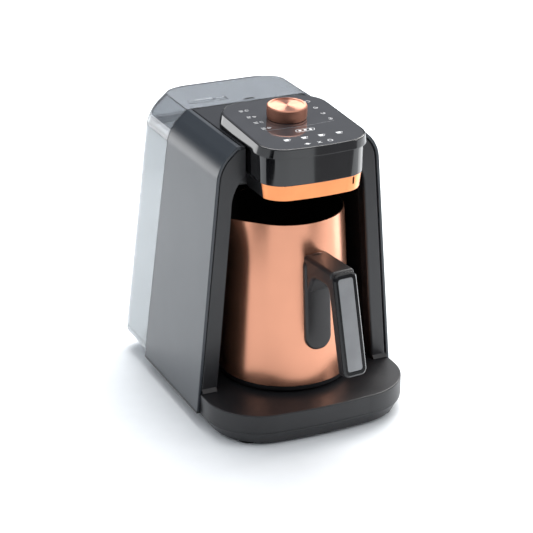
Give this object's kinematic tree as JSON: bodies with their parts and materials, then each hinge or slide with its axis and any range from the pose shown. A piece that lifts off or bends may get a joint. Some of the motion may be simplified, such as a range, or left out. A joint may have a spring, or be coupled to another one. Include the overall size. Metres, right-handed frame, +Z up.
{
  "type": "electric turkish coffee maker",
  "caption": "Countertop electric Turkish coffee maker with a copper-coloured jug on a hot plate, a cantilevered touch-control head with a turning knob, and a clear lift-off rear water tank.",
  "frame": {"origin": "middle of the footprint box, on the surface the feet stand on", "axes": "+Z up, -Y towards the user (the jug's handle side), +X to the user's right"},
  "size_m": [0.1804, 0.2695, 0.2622],
  "materials": {
    "casing": "satin",
    "rim": "satin",
    "black_matt": "matt",
    "deck_gloss": "gloss",
    "head_gloss": "gloss",
    "panel_glass": "gloss",
    "trim_copper": "satin",
    "knob_copper": "spun",
    "jug_copper": "satin",
    "jug_black": "satin",
    "tray_plastic": "matt",
    "base_plastic": "matt",
    "rubber_black": "matt",
    "hot_plate": "satin",
    "steel": "satin",
    "inner_plastic": "matt",
    "board_green": "matt",
    "silicone": "satin",
    "tank_clear": "clear smoky plastic",
    "lid_clear": "darker smoky plastic",
    "handle_black": "satin",
    "handle_gloss": "gloss",
    "inset_grey": "satin",
    "wire_black": "matt"
  },
  "bodies": {
    "base": {"side_cover_left": "casing", "side_cover_right": "casing", "front_frame": "rim", "bay_liner": "black_matt", "rear_panel": "casing", "top_deck": "deck_gloss", "lower_base": "base_plastic", "rubber_feet": "rubber_black", "tray": "tray_plastic", "heating_plate": "hot_plate", "plate_gasket": "silicone", "heating_element": "steel", "temperature_sensor": "steel", "heater_shield": "steel", "tank_shelf": "base_plastic", "tank_socket": "inner_plastic", "cord_gland": "rubber_black", "head_band": "head_gloss", "touch_panel": "panel_glass", "head_shell": "head_gloss", "head_skirt": "black_matt", "trim_band": "trim_copper", "head_underbody": "black_matt", "water_nozzle": "inner_plastic", "foam_sensor": "head_gloss", "control_board": "board_green", "rotary_encoder": "steel", "works_floor": "inner_plastic", "pump": "inner_plastic", "pump_cradle": "rubber_black", "inlet_hose": "silicone", "outlet_hose": "silicone", "power_board": "board_green", "speaker": "inner_plastic", "wire_harness": "wire_black", "base_screws": "steel", "screw_posts": "inner_plastic"},
    "knob": {"knob_cap": "knob_copper", "knob_hub": "inner_plastic", "knob_shaft": "steel"},
    "jug": {"jug_sleeve": "jug_copper", "jug_liner": "jug_black", "jug_base_ring": "black_matt", "jug_bottom_plate": "steel", "handle_body": "handle_black", "handle_cover": "handle_gloss", "handle_inset": "inset_grey", "handle_screws": "steel"},
    "tank": {"water_tank": "tank_clear", "valve_cage": "inner_plastic", "valve_spring": "steel", "valve_seal": "silicone"},
    "lid": {"tank_lid": "lid_clear"},
    "valve": {"valve_poppet": "inner_plastic"}
  },
  "joints": [
    {"name": "knob_turn", "type": "hinge", "parent": "base", "child": "knob", "pos_m": [0, -0.0244, 0.2505], "axis": [0, -0.0462, 0.9989], "continuous": true},
    {"name": "jug_slide", "type": "slide", "parent": "base", "child": "jug", "axis": [0, -1, 0], "range_m": [0, 0.16]},
    {"name": "tank_lift", "type": "slide", "parent": "base", "child": "tank", "axis": [0, 0, 1], "range_m": [0, 0.255]},
    {"name": "lid_lift", "type": "slide", "parent": "tank", "child": "lid", "axis": [0, 0, 1], "range_m": [0, 0.06]},
    {"name": "valve_open", "type": "slide", "parent": "tank", "child": "valve", "axis": [0, 0, 1], "range_m": [0, 0.003], "stiffness_N_per_m": 200, "springref_m": -0.002, "deforming": ["valve_spring"]}
  ]
}
